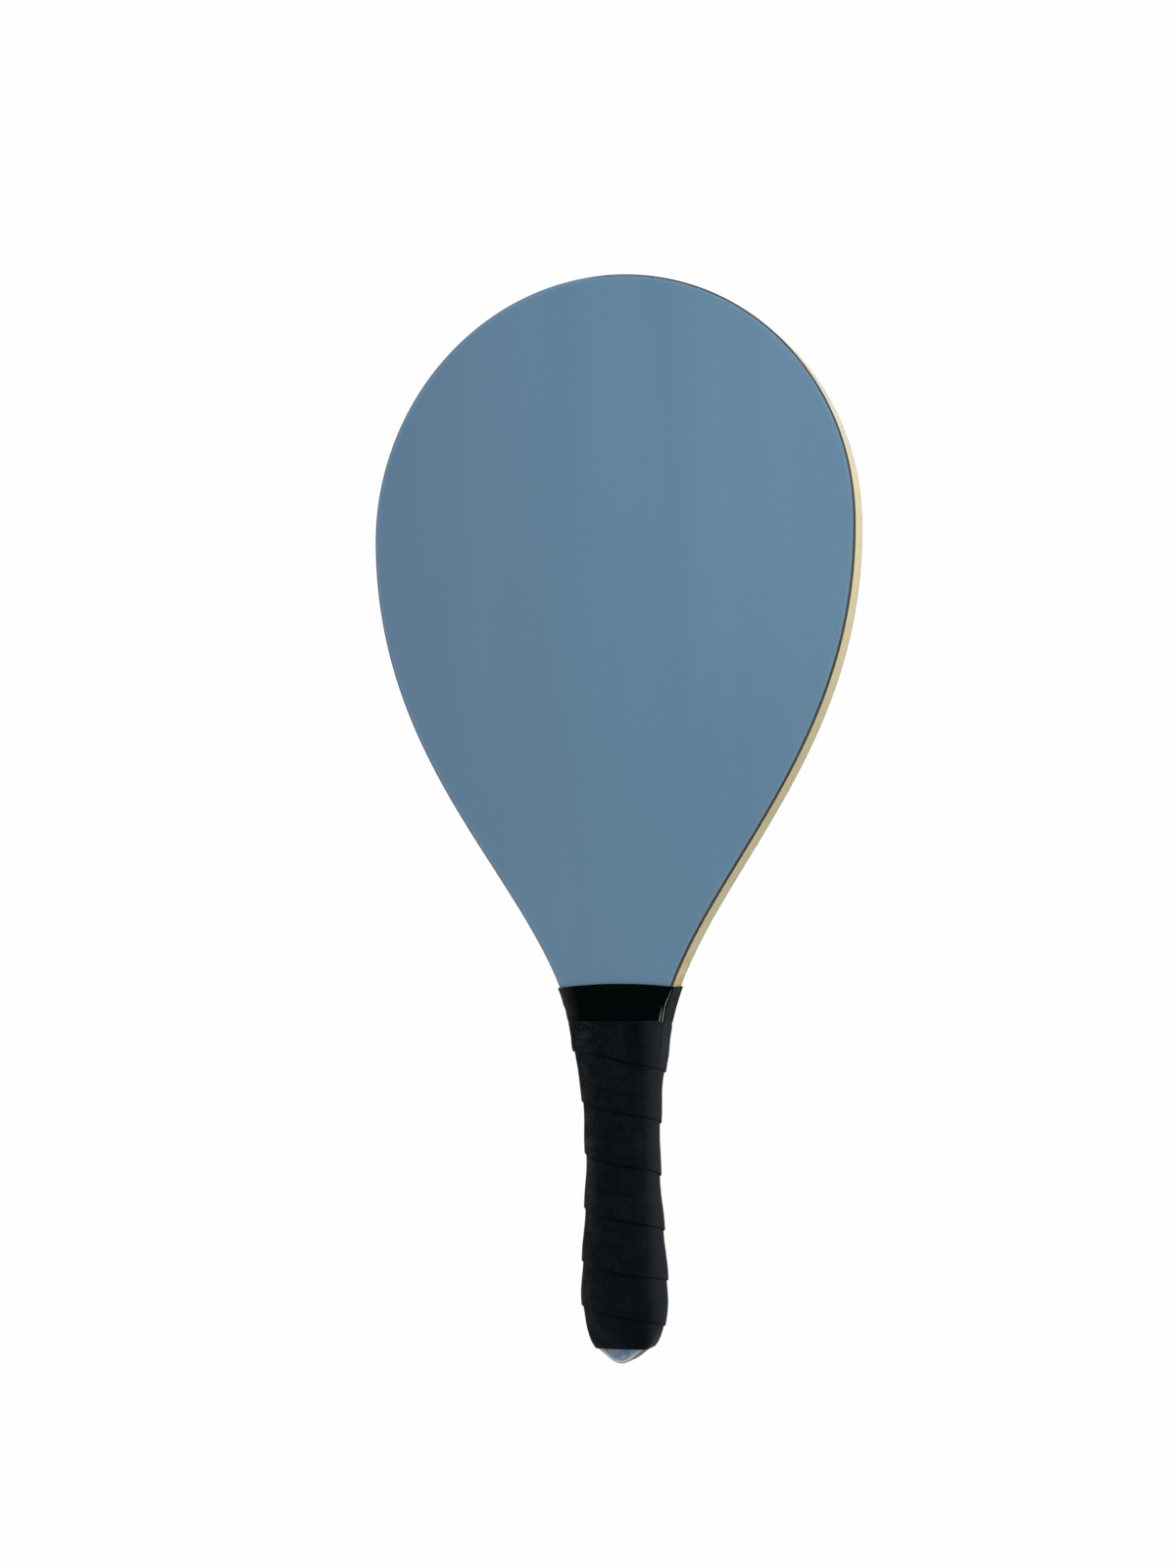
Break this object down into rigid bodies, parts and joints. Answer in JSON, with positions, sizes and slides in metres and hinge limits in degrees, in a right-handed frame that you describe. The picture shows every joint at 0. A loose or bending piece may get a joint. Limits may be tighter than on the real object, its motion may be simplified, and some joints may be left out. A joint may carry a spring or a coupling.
{
  "type": "beach paddle",
  "caption": "Solid wooden beach paddle with a pear-shaped blade, blue laminate faces, a helically wrapped oval handle and a taped throat.",
  "frame": {"origin": "middle of the bounding box's bottom: mid-length of the paddle, on the level that the rear of the grip rests on", "axes": "+X across the blade, +Y from the butt to the head, +Z out of the front face"},
  "size_m": [0.211, 0.455, 0.0302],
  "materials": {
    "core_wood": "bare pale sawn and sanded wood",
    "face_laminate": "satin steel-blue decorative laminate with a dark edge",
    "cheek_wood": "sanded, hidden under the grip",
    "overgrip": "matte stretched grip tape with overlapping turns",
    "vinyl_tape": "glossy black vinyl tape"
  },
  "bodies": {
    "root": {"core_panel": "core_wood", "front_laminate": "face_laminate", "rear_laminate": "face_laminate", "front_cheek": "cheek_wood", "rear_cheek": "cheek_wood", "overgrip": "overgrip", "throat_tape": "vinyl_tape"}
  },
  "joints": []
}
